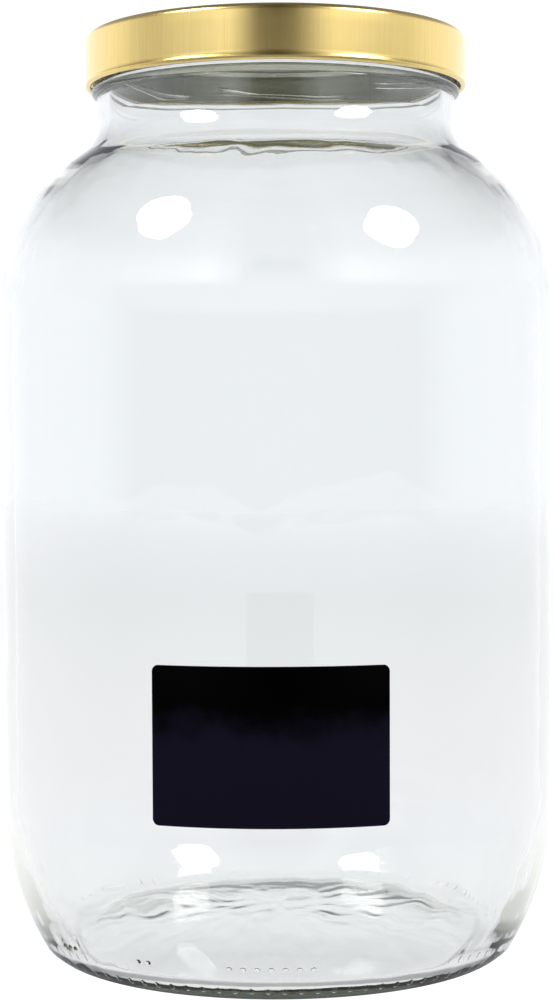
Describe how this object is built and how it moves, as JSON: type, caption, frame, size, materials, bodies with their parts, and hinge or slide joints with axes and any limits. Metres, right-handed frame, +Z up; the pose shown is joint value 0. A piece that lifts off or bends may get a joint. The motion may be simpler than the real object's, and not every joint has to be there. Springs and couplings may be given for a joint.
{
  "type": "preserving jar",
  "caption": "Large round clear glass preserving jar with a wide mouth, shut by a gold twist-off lid, with a bare black label low on its front.",
  "frame": {"origin": "middle of the ring that the jar stands on, on the surface under it", "axes": "+Z up along the jar's axis, -Y towards the front that carries the label, +X to the right seen from the front"},
  "size_m": [0.163, 0.1632, 0.2725],
  "materials": {
    "clear_glass": "clear soda-lime container glass, glossy, with a faint grey-green tint in its thick parts",
    "gold_lacquer": "tinplate with a clear gold lacquer, satin gloss with faint rolling lines",
    "seal_compound": "off-white soft sealing compound, satin",
    "black_label": "black chalkboard film, semi-matt with a very fine grain"
  },
  "bodies": {
    "root": {"jar_glass": "clear_glass", "lid": "gold_lacquer", "lid_seal": "seal_compound", "label": "black_label"}
  },
  "joints": []
}
